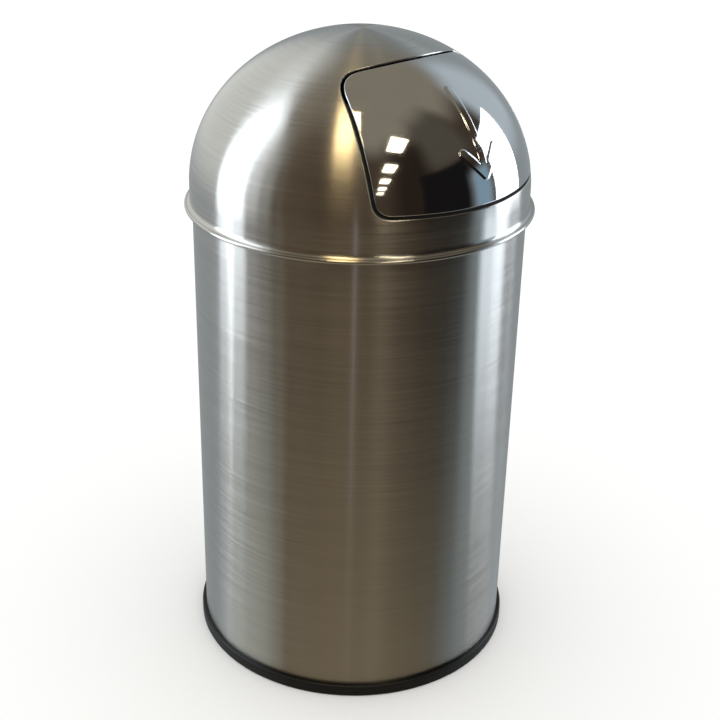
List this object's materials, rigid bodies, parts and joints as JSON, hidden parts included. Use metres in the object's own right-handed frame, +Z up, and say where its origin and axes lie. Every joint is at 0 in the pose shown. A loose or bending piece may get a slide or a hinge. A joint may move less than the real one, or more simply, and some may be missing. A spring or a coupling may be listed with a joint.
{
  "type": "dome top waste receptacle",
  "caption": "Round waste receptacle with a lift-off dome lid, a sprung push flap in the dome and a lift-out bucket with a bail.",
  "frame": {"origin": "centre of the underside of the base ring, on the floor", "axes": "+Z up along the bin's axis, -Y towards the front where the flap is, +X to the right seen from the front"},
  "size_m": [0.356, 0.356, 0.6704],
  "materials": {
    "brushed_steel": "brushed round the axis",
    "polished_steel": "mirror polished",
    "black_plastic": "moulded, slightly textured",
    "black_rubber": "matt",
    "zinc_steel": "zinc plated sheet",
    "spring_steel": "drawn wire"
  },
  "bodies": {
    "body": {"base_ring": "black_plastic", "base_pan": "zinc_steel", "body_shell": "brushed_steel"},
    "lid": {"dome_shell": "brushed_steel", "lid_seat_ring": "black_plastic", "hinge_pin": "spring_steel", "hinge_bracket_left": "zinc_steel", "hinge_bracket_right": "zinc_steel", "pin_clip_left": "spring_steel", "pin_clip_right": "spring_steel", "flap_spring_left": "spring_steel", "flap_spring_right": "spring_steel"},
    "flap": {"flap_skin": "polished_steel", "flap_liner": "black_plastic", "flap_seal": "black_rubber"},
    "bucket": {"inner_bucket": "zinc_steel", "bail_ear_left": "zinc_steel", "bail_ear_right": "zinc_steel", "ear_rivet_front_left": "zinc_steel", "ear_rivet_front_right": "zinc_steel", "ear_rivet_back_left": "zinc_steel", "ear_rivet_back_right": "zinc_steel"},
    "bail": {"bail_handle": "spring_steel"}
  },
  "joints": [
    {"name": "lid_lift", "type": "slide", "parent": "body", "child": "lid", "axis": [0, 0, 1], "range_m": [0, 0.6]},
    {"name": "flap_hinge", "type": "hinge", "parent": "lid", "child": "flap", "pos_m": [0, -0.05527, 0.6359], "axis": [1, 0, 0], "range_deg": [0, 55], "stiffness_Nm_per_rad": 0.25, "springref_deg": -97.4, "deforming": ["flap_spring_left", "flap_spring_right"]},
    {"name": "bucket_lift", "type": "slide", "parent": "body", "child": "bucket", "axis": [0, 0, 1], "range_m": [0, 0.5]},
    {"name": "bail_swing", "type": "hinge", "parent": "bucket", "child": "bail", "pos_m": [0, 0, 0.4808], "axis": [1, 0, 0], "range_deg": [0, 180]}
  ],
  "couplings": [
    {"joint": "bucket_lift", "follows": "lid_lift", "ratio": 0.8333}
  ]
}
